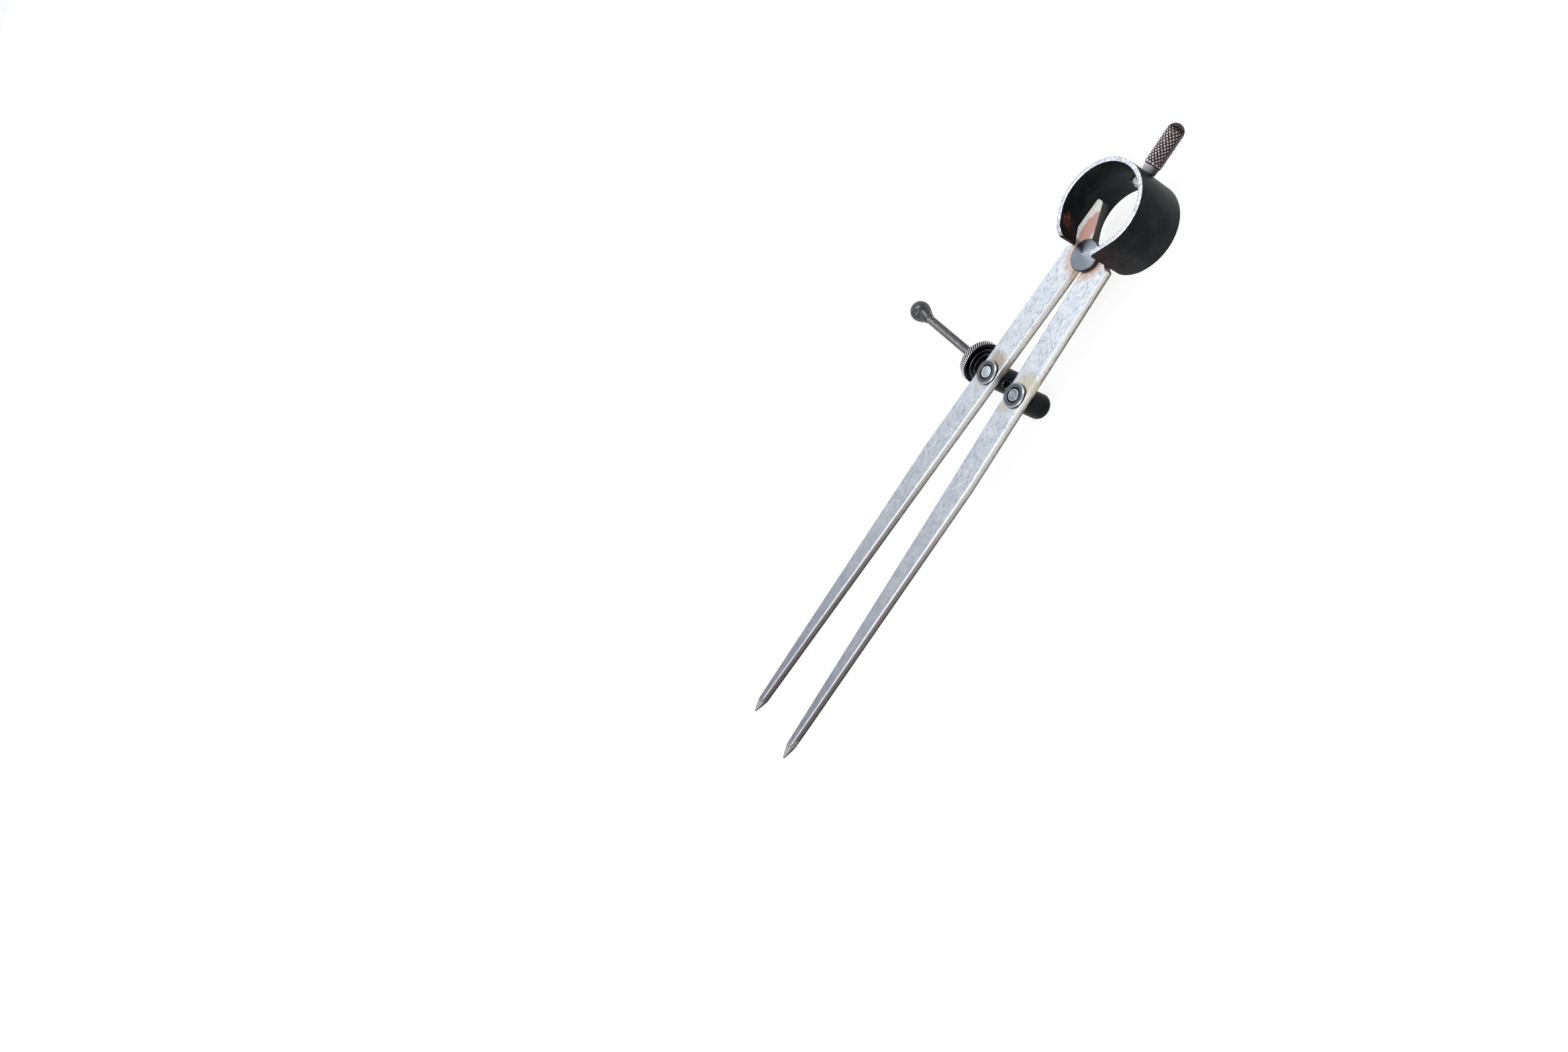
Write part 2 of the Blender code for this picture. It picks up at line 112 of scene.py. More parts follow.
# ---------------------------------------------------------------- dimensions not in a box
OPEN = math.radians(2.94)      # each leg's angle to the tool's axis
LEG_REACH = 150.0
LEG_WIDTH = 6.3
INNER_EDGE = 0.95              # fulcrum axis to the leg's straight inner edge
TAPER_START = 60.0
TIP_WIDTH = 1.5
NEEDLE_LENGTH = 4.5
NEEDLE_END = 0.35 / 3          # half the width at the very point
LEG_ROUNDING = 0.6             # the long edges' worn rounding
FINE_ROUNDING = 0.2            # that of the fingers and notches
FINGER_ANGLE = 28.0
FINGER_TOP = 11.4
FINGER_TIP_OUTER = 8.0
FINGER_TIP_ROUND = 0.35
BOW_THICKNESS = 1.1
BOW_ARC_END = 123.0            # from the handle round to where each end runs straight
BOW_STRAIGHT = 5.1
BOW_CORNERS = {-1: (3.0, 3.0), 1: (1.0, 4.5)}     # each end's front and rear corner radii
BOW_EDGE_ROUND = 0.16
CLEARANCE = 0.3
BOW_FIT = 0.1                  # finger to bow
SIDE_GAP = 0.25                # leg to flange, and leg to post shoulder
FLANGE = 0.8
WAIST_RADIUS = 1.9
HANDLE_NUT_RADIUS = 2.6        # to the hexagon's corners
SPIGOT_RADIUS = 1.7
NECK_RADIUS = 1.85
THREAD_PITCH = 0.5
THREAD_DEPTH = 0.2
KNURL_STARTS = 14
KNURL_LEAD = 14.4              # length along the handle for one full turn of a knurl groove
KNURL_DEPTH = 0.22
NUT_TEETH = 60
NUT_TOOTH_DEPTH = 0.36
NUT_DISC = 2.1                 # thickness of the toothed disc
NUT_LEAN = 5.5                 # degrees that a tooth turns in a millimetre
CAMERA_LENS = 26.077
CAMERA_SENSOR = 36.0
CAMERA_PLACE = (0.19155, 0.00339, 0.20560)        # metres
CAMERA_TURN = (18.982, 49.048, 49.821)            # degrees about X, Y and Z


# ---------------------------------------------------------------- shapes
def fillet(points, radius, closed=False, steps=3):
    """A line of 2D points with each sharp corner swapped for a small arc."""
    last = len(points) - 1
    line = []
    for k, point in enumerate(points):
        here = Vector(point)
        if not closed and k in (0, last):
            line.append(here)
            continue
        back = Vector(points[k - 1]) - here
        onward = Vector(points[(k + 1) % len(points)]) - here
        turn = math.pi - back.angle(onward)
        if turn < math.radians(18):
            line.append(here)
            continue
        reach = min(radius * math.tan(turn / 2), 0.42 * back.length, 0.42 * onward.length)
        start = here + back.normalized() * reach
        end = here + onward.normalized() * reach
        for step in range(steps + 1):
            t = step / steps
            line.append(start * (1 - t) ** 2 + here * 2 * t * (1 - t) + end * t ** 2)
    return line


def arc(centre, radius, start, end, count):
    """Points on an arc, angles in degrees anticlockwise from +X."""
    angles = [math.radians(start + (end - start) * k / count) for k in range(count + 1)]
    return [Vector((centre[0] + radius * math.cos(a), centre[1] + radius * math.sin(a)))
            for a in angles]


def finish_mesh(name, shape, sharp=30):
    """Weld a bmesh built in millimetres, turn it to metres and shade it."""
    bmesh.ops.remove_doubles(shape, verts=shape.verts, dist=0.0005)
    bmesh.ops.dissolve_degenerate(shape, edges=shape.edges, dist=0.0002)
    bmesh.ops.recalc_face_normals(shape, faces=shape.faces)
    bmesh.ops.scale(shape, vec=(MM, MM, MM), verts=shape.verts)
    mesh = bpy.data.meshes.new(name)
    shape.to_mesh(mesh)
    shape.free()
    mesh.shade_smooth()
    mesh.set_sharp_from_angle(angle=math.radians(sharp))
    return mesh


def skin(name, rings, looped=False, sharp=30):
    """A skin over closed rings of points. Looped joins the last ring to the first; otherwise
    both ends are capped."""
    shape = bmesh.new()
    verts = [[shape.verts.new(point) for point in ring] for ring in rings]
    size = len(rings[0])
    pairs = list(zip(verts, verts[1:]))
    if looped:
        pairs.append((verts[-1], verts[0]))
    for low, high in pairs:
        for k in range(size):
            m = (k + 1) % size
            shape.faces.new((low[k], low[m], high[m], high[k]))
    if not looped:
        shape.faces.new(verts[0][::-1])
        shape.faces.new(verts[-1])
    return finish_mesh(name, shape, sharp)


def spun(reach, height, steps, place=Matrix.Identity(4), twist=0.0):
    """Points round Z at one height, put in place. Reach gives the radius at each angle."""
    points = []
    for k in range(steps):
        angle = 2 * math.pi * k / steps
        radius = reach(angle)
        turn = angle + twist
        points.append(place @ Vector((radius * math.cos(turn), radius * math.sin(turn), height)))
    return points


def turned(name, profile, steps=96, looped=False, place=Matrix.Identity(4)):
    """Spin a profile of (radius, height) points about Z, then put it in place."""
    rings = [spun(lambda angle: max(radius, 0.002), height, steps, place)
             for radius, height in profile]
    return skin(name, rings, looped)


ALONG_X = Matrix.Rotation(math.radians(90), 4, "Y")
ALONG_Y = Matrix.Rotation(math.radians(-90), 4, "X")
HANDLE_AXIS = Matrix.Translation((0, 0, MID_Z)) @ ALONG_Y
SCREW_AXIS = Matrix.Translation((0, POST_Y, SCREW_Z)) @ ALONG_X


def scene_object(name, data):
    """A new object in the scene."""
    thing = bpy.data.objects.new(name, data)
    bpy.context.scene.collection.objects.link(thing)
    return thing


def piece(name, mesh, material, body, *nodes, slot):
    """Put a finished mesh in the scene as one piece riding on a body."""
    thing = scene_object(name, mesh)
    mesh.materials.clear()
    mesh.materials.append(material)
    if body:
        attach(thing, body)
    if nodes:
        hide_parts(*nodes)
    return thing


def carve(mesh, *cutters):
    """The mesh with closed cutter meshes taken out of it."""
    holder = scene_object("carving", mesh)
    tools = []
    for cutter in cutters:
        tool = scene_object("cutter", cutter)
        modifier = holder.modifiers.new("cut", "BOOLEAN")
        modifier.operation = "DIFFERENCE"
        modifier.solver = "EXACT"
        modifier.object = tool
        tools.append(tool)
    depsgraph = bpy.context.evaluated_depsgraph_get()
    result = bpy.data.meshes.new_from_object(holder.evaluated_get(depsgraph))
    result.name = mesh.name
    for thing in (holder, *tools):
        bpy.data.objects.remove(thing, do_unlink=True)
    result.shade_smooth()
    result.set_sharp_from_angle(angle=math.radians(30))
    return result


def flat_normals(thing):
    """Keep flat faces flat beside rounded edges."""
    modifier = thing.modifiers.new("flat faces", "WEIGHTED_NORMAL")
    modifier.keep_sharp = True
    modifier.weight = 80


# ---------------------------------------------------------------- materials
class Surface:
    """A material in the making: its shader, and short ways to the nodes behind it."""

    def __init__(self, name, colour, roughness, metallic):
        self.material = bpy.data.materials.new(name)
        self.material.use_nodes = True
        self.tree = self.material.node_tree
        self.shader = self.tree.nodes["Principled BSDF"]
        self.shader.inputs["Base Color"].default_value = (*colour, 1)
        self.shader.inputs["Roughness"].default_value = roughness
        self.shader.inputs["Metallic"].default_value = metallic
        self.material.diffuse_color = (*colour, 1)
        self.place = self.node("ShaderNodeTexCoord").outputs["Object"]

    def node(self, kind, **settings):
        made = self.tree.nodes.new(kind)
        for key, value in settings.items():
            setattr(made, key, value)
        return made

    def join(self, source, target):
        """Feed a socket or a plain value into a socket."""
        if isinstance(source, bpy.types.NodeSocket):
            self.tree.links.new(source, target)
        else:
            target.default_value = source

    def set(self, name, source):
        self.join(source, self.shader.inputs[name])

    def maths(self, operation, first, second=0.0, clamp=False):
        made = self.node("ShaderNodeMath", operation=operation, use_clamp=clamp)
        self.join(first, made.inputs[0])
        self.join(second, made.inputs[1])
        return made.outputs[0]

    def times(self, first, second):
        return self.maths("MULTIPLY", first, second)

    def moved(self, offset=(0, 0, 0), scale=(1, 1, 1), turn=(0, 0, 0)):
        """Object coordinates in millimetres, moved so that offset is the origin."""
        step = self.node("ShaderNodeVectorMath", operation="MULTIPLY_ADD")
        self.join(self.place, step.inputs[0])
        step.inputs[1].default_value = (1000, 1000, 1000)
        step.inputs[2].default_value = tuple(-value for value in offset)
        made = self.node("ShaderNodeMapping")
        self.join(step.outputs[0], made.inputs["Vector"])
        made.inputs["Scale"].default_value = scale
        made.inputs["Rotation"].default_value = turn
        return made.outputs[0]

    def axis(self, vector, letter):
        made = self.node("ShaderNodeSeparateXYZ")
        self.join(vector, made.inputs[0])
        return made.outputs[letter]

    def distance(self, vector):
        made = self.node("ShaderNodeVectorMath", operation="LENGTH")
        self.join(vector, made.inputs[0])
        return made.outputs["Value"]

    def noise(self, vector, scale, detail=4.0, roughness=0.55, distortion=0.0):
        made = self.node("ShaderNodeTexNoise")
        self.join(vector, made.inputs["Vector"])
        made.inputs["Scale"].default_value = scale
        made.inputs["Detail"].default_value = detail
        made.inputs["Roughness"].default_value = roughness
        made.inputs["Distortion"].default_value = distortion
        return made.outputs[0]

    def cells(self, vector, scale, feature="F1", randomness=1.0):
        made = self.node("ShaderNodeTexVoronoi", feature=feature)
        self.join(vector, made.inputs["Vector"])
        made.inputs["Scale"].default_value = scale
        made.inputs["Randomness"].default_value = randomness
        return made.outputs["Distance"]

    def band(self, value, low, high):
        """0 below low and 1 above high, smooth between; low above high turns it round."""
        made = self.node("ShaderNodeMapRange", interpolation_type="SMOOTHSTEP")
        self.join(value, made.inputs["Value"])
        made.inputs["From Min"].default_value = low
        made.inputs["From Max"].default_value = high
        return made.outputs["Result"]

    def mix(self, factor, first, second, blend="MIX"):
        made = self.node("ShaderNodeMix", data_type="RGBA", blend_type=blend)
        self.join(factor, made.inputs["Factor"])
        for value, socket in ((first, made.inputs["A"]), (second, made.inputs["B"])):
            self.join((*value, 1) if isinstance(value, tuple) else value, socket)
        return made.outputs["Result"]

    def between(self, factor, low, high):
        """A plain number from low to high as factor goes from 0 to 1."""
        made = self.node("ShaderNodeMapRange")
        self.join(factor, made.inputs["Value"])
        made.inputs["To Min"].default_value = low
        made.inputs["To Max"].default_value = high
        return made.outputs["Result"]

    def bump(self, height, strength, distance):
        """Bump from a height, distance in millimetres, over any bump already there."""
        made = self.node("ShaderNodeBump")
        made.inputs["Strength"].default_value = strength
        made.inputs["Distance"].default_value = distance * MM
        self.join(height, made.inputs["Height"])
        before = self.shader.inputs["Normal"].links
        if before:
            self.join(before[0].from_socket, made.inputs["Normal"])
        self.set("Normal", made.outputs[0])


def leg_side_painted_shading(s, colour, streak):
    """Painted light and shade on the sides: pale by the front edge as a painted highlight, then
    grey-brown and near black towards the rear as painted shade.
    """
    z = s.axis(s.moved(), "Z")
    rear = s.maths("ADD", z, s.between(streak, -0.7, 0.7))
    # painted highlight: the sides are painted pale
    colour = s.mix(s.between(s.band(z, FRONT_Z - 0.05, FRONT_Z - 0.3), 0.0, 0.85),
                   colour, (0.92, 0.93, 0.93))
    # painted shade: grey-brown, then near black towards the rear
    colour = s.mix(s.between(s.band(rear, MID_Z + 0.75, MID_Z + 0.35), 0.0, 0.7), colour,
                   (0.55, 0.545, 0.53))
    colour = s.mix(s.band(rear, MID_Z + 0.1, MID_Z - 0.7), colour, (0.3, 0.27, 0.245))
    return s.mix(s.band(rear, MID_Z - 0.5, MID_Z - 1.1), colour, (0.1, 0.08, 0.075))


def leg_points(s, colour):
    """Darker towards the points, with a painted highlight along the front edge. Gives the colour and
    the highlight's mask.
    """
    at = s.moved()
    x, y, z = (s.axis(at, letter) for letter in "XYZ")
    along = s.maths("DIVIDE", y, -LEG_REACH, clamp=True)
    lower = s.between(s.maths("POWER", along, 1.1), 0.0, 0.9)
    colour = s.mix(lower, colour, (0.27, 0.262, 0.305), "MULTIPLY")
    # the sides darken more than the fronts
    below = s.band(z, FRONT_Z - 0.25, FRONT_Z - 0.6)
    below = s.times(below, s.band(y, -45, -100))
    colour = s.mix(s.between(below, 0.0, 0.9), colour, (0.42, 0.36, 0.36), "MULTIPLY")
    # painted highlight: a near-white band along the rounded front edge, made a little rougher too
    painted_edge_glint = s.times(s.band(z, FRONT_Z - 0.02, FRONT_Z - 0.08),
                    s.band(z, FRONT_Z - 0.45, FRONT_Z - 0.25))
    painted_edge_glint = s.times(painted_edge_glint, s.band(y, -1.0, -4.0))
    painted_edge_glint = s.times(painted_edge_glint, s.band(y, -144.8, -143.8))
    colour = s.mix(s.between(painted_edge_glint, 0.0, 0.55), colour, (0.97, 0.98, 0.98))
    # a speckled ring on the right leg, then needles that are pale in front and painted dark behind as
    # painted shade
    weld = s.times(s.band(y, -142.5, -143.5), s.band(s.noise(at, 2.5, 3), 0.5, 0.6))
    weld = s.times(weld, s.band(x, 0.0, 1.0))
    colour = s.mix(s.between(weld, 0.0, 0.6), colour, (0.6, 0.57, 0.54))
    needle = s.mix(s.band(z, MID_Z - 0.1, MID_Z + 0.35), (0.07, 0.058, 0.055), (0.46, 0.44, 0.43))
    return s.mix(s.between(s.band(y, -145.0, -146.2), 0.0, 0.85), colour, needle), painted_edge_glint


def leg_stains(s, colour):
    """Brown stains round the fulcrum and beside the washers."""
    blotch = s.between(s.noise(s.moved(), 0.55, 4), -1.6, 1.6)
    for centre, near, far, tint, amount in (
            ((0, 0, 0), 4.1, 7.1, (0.52, 0.33, 0.235), 0.75),
            ((POST_X + 0.8, POST_Y + 3.8, 0), 1.4, 3.7, (0.5, 0.45, 0.31), 0.7),
            ((-POST_X + 0.6, POST_Y + 3.6, 0), 1.4, 3.4, (0.36, 0.28, 0.23), 0.8),
            ((POST_X - 0.8, POST_Y - 3.9, 0), 0.7, 2.2, (0.52, 0.42, 0.31), 0.6),
            ((-POST_X - 0.4, POST_Y - 3.7, 0), 0.6, 1.8, (0.5, 0.42, 0.36), 0.5)):
        away = s.distance(s.moved(centre, scale=(1, 1, 0)))
        stain = s.band(s.maths("ADD", away, blotch), far, near)
        colour = s.mix(s.between(stain, 0.0, amount), colour, tint)
    return colour


def leg_fingers(s, colour, streak):
    """Dull flats, coppery on the left one, and sides painted near black as painted shade. Gives the
    colour and the flats.
    """
    at = s.moved()
    y, z = s.axis(at, "Y"), s.axis(at, "Z")
    flat = s.times(s.band(z, FRONT_Z - 0.3, FRONT_Z - 0.1), s.band(y, 1.6, 2.8))
    pale = s.mix(s.band(streak, 0.35, 0.65), (0.66, 0.62, 0.57), (0.84, 0.83, 0.8))
    colour = s.mix(s.between(flat, 0.0, 0.8), colour, pale)
    heart = s.distance(s.moved((-4.35, 5.3, 0), scale=(0.6, 0.26, 0), turn=(0, 0, -0.44)))
    heart = s.band(s.maths("ADD", heart, s.between(streak, -0.35, 0.35)), 1.35, 0.9)
    colour = s.mix(s.between(s.times(heart, flat), 0.0, 0.85), colour,
                   (0.47, 0.225, 0.18))
    # painted shade: the sides round the fingers are painted near black
    side = s.times(s.band(z, FRONT_Z - 0.18, FRONT_Z - 0.32), s.band(y, 2.2, 3.2))
    return s.mix(s.between(side, 0.0, 0.95), colour, (0.03, 0.025, 0.022)), flat


def leg_marks(s):
    """Pits and short curved scratches."""
    at = s.moved()
    pit = s.band(s.maths("ADD", s.cells(s.moved(scale=(1.0, 0.7, 1.0)), 1.05),
                         s.between(s.noise(at, 0.8, 2), -0.22, 0.24)), 0.12, 0.05)
    line = s.band(s.cells(s.moved(scale=(0.9, 0.5, 0.9)), 0.5, "DISTANCE_TO_EDGE"), 0.026, 0.0)
    line = s.times(line, s.band(s.noise(at, 0.7, 2), 0.57, 0.64))
    return s.maths("MAXIMUM", pit, line)


def leg_steel():
    """Bare satin steel: streaks, pits, short scratches, brown stains and darker points, with a
    painted highlight along the front edges and painted shade on the sides.
    """
    s = Surface("leg_steel", (0.8, 0.84, 0.9), 0.4, 1.0)
    at = s.moved()
    streak = s.noise(s.moved(scale=(1.0, 0.55, 1.0), turn=(0, 0, 0.5)), 1.5, 6, 0.68, 0.6)
    colour = s.mix(s.band(s.noise(at, 0.3, 3), 0.3, 0.7), (0.58, 0.62, 0.68), (0.7, 0.725, 0.76))
    # blue-grey streaks that fade out towards the points, and white ones
    strength = s.between(s.band(s.axis(at, "Y"), -45, -100), 0.85, 0.35)
    blue = s.times(s.band(streak, 0.5, 0.64), strength)
    colour = s.mix(blue, colour, (0.35, 0.405, 0.49))
    colour = s.mix(s.between(s.band(streak, 0.42, 0.3), 0.0, 0.8), colour, (0.93, 0.94, 0.96))
    colour = leg_side_painted_shading(s, colour, streak)
    colour, painted_edge_glint = leg_points(s, colour)
    colour = leg_stains(s, colour)
    colour, flat = leg_fingers(s, colour, streak)
    marks = leg_marks(s)
    colour = s.mix(s.between(marks, 0.0, 0.6), colour, (0.15, 0.15, 0.18))
    s.set("Base Color", colour)
    s.set("Metallic", s.between(flat, 1.0, 0.15))
    rough = s.between(s.maths("ADD", streak, s.maths("ADD", marks, flat)), 0.34, 0.5)
    s.set("Roughness", s.maths("ADD", rough, s.between(painted_edge_glint, 0.0, 0.14)))
    s.bump(streak, 0.15, 0.02)
    s.bump(marks, -0.6, 0.06)
    return s.material


def bow_black():
    """Blued spring steel: almost black with a few pale specks and a rust patch."""
    s = Surface("bow_black", (0.006, 0.007, 0.008), 0.42, 0.0)
    at = s.moved()
    cloud = s.noise(at, 0.25, 4)
    colour = s.mix(s.band(cloud, 0.35, 0.7), (0.004, 0.005, 0.0062), (0.012, 0.0145, 0.0165))
    low = s.band(s.axis(at, "Y"), 7.0, 0.0)
    warm = s.times(low, s.band(s.noise(at, 0.6, 4), 0.35, 0.65))
    colour = s.mix(s.between(warm, 0.0, 0.85), colour, (0.030, 0.013, 0.011))
    patch = s.band(s.distance(s.moved((-7.9, 4.6, 7.5), scale=(0.55, 0.55, 0.62))), 1.3, 0.5)
    rust = s.times(patch, s.band(s.noise(at, 1.1, 5), 0.36, 0.58))
    colour = s.mix(s.between(rust, 0.0, 0.9), colour, (0.15, 0.05, 0.035))
    speck = s.band(s.cells(at, 0.5), 0.05, 0.02)
    colour = s.mix(s.between(speck, 0.0, 0.4), colour, (0.2, 0.21, 0.22))
    scratch = s.band(s.cells(s.moved(scale=(0.2, 0.55, 0.35), turn=(0.3, 0.4, 0.7)), 0.9,
                             "DISTANCE_TO_EDGE"), 0.014, 0.0)
    scratch = s.times(scratch, s.band(s.noise(at, 0.5, 2), 0.52, 0.62))
    colour = s.mix(s.between(scratch, 0.0, 0.3), colour, (0.05, 0.055, 0.055))
    s.set("Base Color", colour)
    s.set("Specular IOR Level", 0.07)
    s.set("Roughness", s.between(cloud, 0.32, 0.5))
    s.bump(s.noise(at, 2.2, 5), 0.22, 0.03)
    return s.material


def bow_edge():
    """The spring's ground edge: bright, softly mottled grey-white steel."""
    s = Surface("bow_edge", (0.72, 0.75, 0.8), 0.4, 1.0)
    at = s.moved()
    fleck = s.noise(at, 1.3, 4, 0.6)
    colour = s.mix(s.band(fleck, 0.34, 0.66), (0.42, 0.45, 0.51), (0.8, 0.82, 0.86))
    s.set("Base Color", colour)
    s.set("Roughness", s.between(fleck, 0.5, 0.34))
    s.bump(fleck, 0.15, 0.02)
    return s.material


def knurled_steel():
    """Brown-black in the grooves, lilac-grey steel on the knurl's worn peaks, with painted light and
    shade across the grip, its domed end and its neck.
    """
    s = Surface("knurled_steel", (0.3, 0.26, 0.27), 0.36, 1.0)
    at = s.moved((0, 0, MID_Z), scale=(1, 0, 1))
    reach = s.distance(at)
    worn = s.band(s.maths("ADD", reach, s.between(s.noise(s.moved(), 1.3, 3), -0.03, 0.03)),
                  HANDLE_RADIUS - KNURL_DEPTH * 0.85, HANDLE_RADIUS - KNURL_DEPTH * 0.25)
    # painted shade: the tip of the domed end is painted darker
    top = s.band(s.axis(s.moved(), "Y"), handle_high.y - 1.3, handle_high.y - 0.7)
    neck = s.band(s.axis(s.moved(), "Y"), BOW_TOP + 1.75, BOW_TOP + 1.55)
    # painted light and shade: brightest towards -X and the front, dark on the far side, on the
    # knurl's peaks and on the plain neck
    across = s.moved((0, 0, MID_Z), turn=(0, 0.82, 0))
    shade = s.band(s.axis(across, "Z"), 1.2, -1.2)
    colour = s.mix(worn, (0.028, 0.018, 0.019), s.mix(shade, (0.66, 0.59, 0.61), (0.3, 0.255, 0.265)))
    colour = s.mix(top, colour, (0.09, 0.065, 0.062))
    colour = s.mix(neck, colour, s.mix(shade, (0.66, 0.68, 0.71), (0.05, 0.05, 0.055)))
    s.set("Base Color", colour)
    s.set("Metallic", s.between(neck, 1.0, 0.35))
    s.set("Roughness", s.between(worn, 0.5, 0.3))
    s.bump(s.noise(s.moved(), 4.0, 4), 0.2, 0.02)
    return s.material


def turned_steel():
    """The fulcrum's cone: grey-blue steel with fine turned rings, and flange rims painted near black
    as painted shade.
    """
    s = Surface("turned_steel", (0.3, 0.33, 0.37), 0.3, 1.0)
    reach = s.distance(s.moved(scale=(1, 1, 0)))
    wobble = s.between(s.noise(s.moved(), 0.8, 2), -0.04, 0.04)
    ring = s.maths("SINE", s.times(s.maths("ADD", reach, wobble), 42.0))
    coarse = s.maths("SINE", s.times(reach, 11.0))
    tone = s.between(s.maths("ADD", ring, s.times(coarse, 0.5)), 0.35, 0.65)
    colour = s.mix(tone, (0.15, 0.17, 0.2), (0.36, 0.39, 0.44))
    # painted shade: the flanges' rims are painted near black
    side = s.band(reach, FULCRUM_RADIUS - 0.28, FULCRUM_RADIUS - 0.1)
    colour = s.mix(side, colour, (0.035, 0.035, 0.04))
    s.set("Base Color", colour)
    s.set("Anisotropic", 0.75)
    tangent = s.node("ShaderNodeTangent", direction_type="RADIAL", axis="Z")
    s.set("Tangent", tangent.outputs[0])
    s.bump(ring, 0.15, 0.02)
    return s.material


def washer_steel(name, centre, tint):
    """Blue-grey washers with a soft turned grain, a painted highlight on the bevel and a rim painted
    near black as painted shade.
    """
    s = Surface(name, tint, 0.3, 1.0)
    reach = s.distance(s.moved(centre, scale=(1, 1, 0)))
    ring = s.maths("SINE", s.times(reach, 24.0))
    cloud = s.noise(s.moved(), 1.2, 4)
    dark = tuple(value * 0.62 for value in tint)
    colour = s.mix(s.between(s.maths("ADD", s.between(ring, 0.0, 0.3), cloud), 0.0, 1.0), dark, tint)
    # painted highlight: the bevel ring is painted pale
    bevel_highlight = s.band(reach, WASHER_RADIUS - 0.5, WASHER_RADIUS - 0.4)
    colour = s.mix(bevel_highlight, colour, (0.4, 0.41, 0.43))
    # painted shade: the outer rim and side wall are painted near black
    rim = s.band(reach, WASHER_RADIUS - 0.1, WASHER_RADIUS - 0.03)
    colour = s.mix(rim, colour, (0.02, 0.02, 0.022))
    s.set("Base Color", colour)
    s.bump(ring, 0.12, 0.02)
    return s.material


def post_black(name, centre, tip):
    """Blue-green black posts whose riveted front ends are bare, mottled steel."""
    s = Surface(name, (0.008, 0.011, 0.012), 0.36, 0.3)
    at = s.moved()
    cloud = s.noise(at, 0.6, 4)
    colour = s.mix(cloud, (0.002, 0.003, 0.0035), (0.008, 0.010, 0.011))
    fleck = s.noise(at, 2.4, 4, 0.6)
    bare = s.mix(s.band(fleck, 0.35, 0.65), tuple(value * 0.62 for value in tip), tip)
    front = s.band(s.axis(at, "Z"), leg_high.z, leg_high.z + 0.3)
    reach = s.distance(s.moved(centre, scale=(1, 1, 0)))
    front = s.times(front, s.band(reach, SPIGOT_RADIUS + 0.02, SPIGOT_RADIUS - 0.12))
    s.set("Base Color", s.mix(front, colour, bare))
    s.set("Metallic", s.between(front, 0.1, 1.0))
    s.set("Specular IOR Level", 0.05)
    s.set("Roughness", s.between(cloud, 0.3, 0.48))
    s.bump(s.noise(at, 1.8, 5), 0.22, 0.03)
    return s.material


def dark_steel(name, base, bright=None, crest=None, plain_from=0.0):
    """Dark oiled steel, worn bright at the crest radii of the screw up to its plain part."""
    s = Surface(name, base, 0.34, 1.0)
    at = s.moved()
    cloud = s.noise(at, 1.1, 5)
    colour = s.mix(s.band(cloud, 0.35, 0.7), tuple(value * 0.6 for value in base), base)
    if crest:
        low, high = crest
        reach = s.distance(s.moved((0, POST_Y, SCREW_Z), scale=(0, 1, 1)))
        worn = s.band(s.maths("ADD", reach, s.between(cloud, -0.06, 0.06)), low, high)
        worn = s.times(worn, s.band(s.axis(at, "X"), plain_from, plain_from - 0.2))
        colour = s.mix(worn, colour, bright)
    s.set("Base Color", colour)
    s.set("Roughness", s.between(cloud, 0.26, 0.42))
    s.bump(s.noise(at, 3.0, 4), 0.2, 0.02)
    return s.material


def nut_steel():
    """Black nut with bright worn teeth and thin rings of painted highlight on its stepped face."""
    s = Surface("nut_steel", (0.02, 0.02, 0.022), 0.3, 1.0)
    at = s.moved()
    reach = s.distance(s.moved((0, POST_Y, SCREW_Z), scale=(0, 1, 1)))
    worn = s.band(reach, NUT_RADIUS - NUT_TOOTH_DEPTH * 0.7, NUT_RADIUS - NUT_TOOTH_DEPTH * 0.25)
    colour = s.mix(worn, (0.012, 0.012, 0.014), (0.62, 0.6, 0.63))
    # painted highlights: thin pale rings at the step edges
    for radius in (3.15, 3.8, 4.3):
        ring = s.band(s.maths("ABSOLUTE", s.maths("SUBTRACT", reach, radius)), 0.1, 0.03)
        colour = s.mix(s.between(ring, 0.0, 0.35), colour, (0.3, 0.31, 0.32))
    s.set("Base Color", colour)
    s.set("Roughness", s.between(s.noise(at, 1.5, 4), 0.24, 0.42))
    s.bump(s.noise(at, 3.0, 4), 0.2, 0.02)
    return s.material


# ---------------------------------------------------------------- the legs
def bow_point(radius, angle, straight=0.0):
    """A point of the bow, angle in degrees from the handle towards +X, then straight on."""
    turn = math.radians(angle)
    return Vector((radius * math.sin(turn) + straight * math.cos(turn),
                   BOW_CENTRE + radius * math.cos(turn) - straight * math.sin(turn)))


